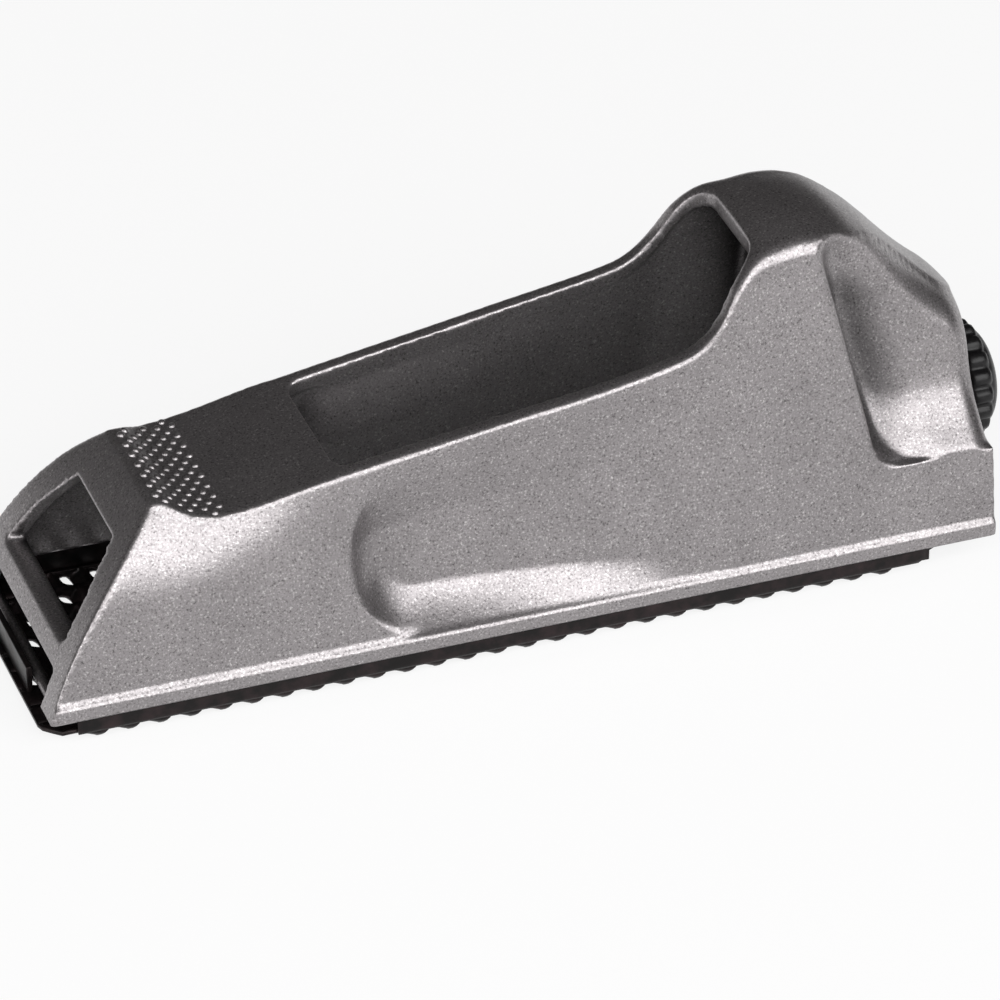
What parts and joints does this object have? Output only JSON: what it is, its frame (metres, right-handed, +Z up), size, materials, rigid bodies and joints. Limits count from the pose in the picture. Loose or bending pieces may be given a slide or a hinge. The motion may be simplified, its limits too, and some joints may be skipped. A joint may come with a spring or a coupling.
{
  "type": "rasp plane",
  "caption": "One-handed rasp plane: cast body with open trough, finger pad and palm hump, a perforated toothed blade under it, and a rear knob that draws the blade tight.",
  "frame": {"origin": "centre of the tool's box in plan, on the surface that the blade's teeth stand on", "axes": "+X along the tool from nose to knob, +Z up, +Y to the tool's right-hand side seen from the rear looking to the nose"},
  "size_m": [0.1544, 0.0434, 0.0566],
  "materials": {
    "cast_paint": "silver-grey speckled enamel, satin",
    "blade_steel": "blackened hardened steel",
    "plated_steel": "zinc plated",
    "knob_plastic": "moulded black"
  },
  "bodies": {
    "frame": {"body_casting": "cast_paint", "thrust_washer": "plated_steel"},
    "blade": {"rasp_blade": "blade_steel"},
    "draw": {"draw_claw": "plated_steel", "draw_bolt": "plated_steel"},
    "knob_body": {"knob": "knob_plastic", "sleeve_nut": "plated_steel", "retaining_clip": "plated_steel"}
  },
  "joints": [
    {"name": "knob_turn", "type": "hinge", "parent": "frame", "child": "knob_body", "pos_m": [0.06985, 0, 0.0186], "axis": [1, 0, 0], "range_deg": [0, 1800]},
    {"name": "draw_slide", "type": "slide", "parent": "frame", "child": "draw", "axis": [-1, 0, 0], "range_m": [0, 0.004]},
    {"name": "blade_swing", "type": "hinge", "parent": "frame", "child": "blade", "pos_m": [-0.07345, 0, 0.0037], "axis": [0, 1, 0], "range_deg": [0, 10]}
  ],
  "couplings": [
    {"joint": "draw_slide", "follows": "knob_turn", "m_per_rad": 0.00012732}
  ]
}
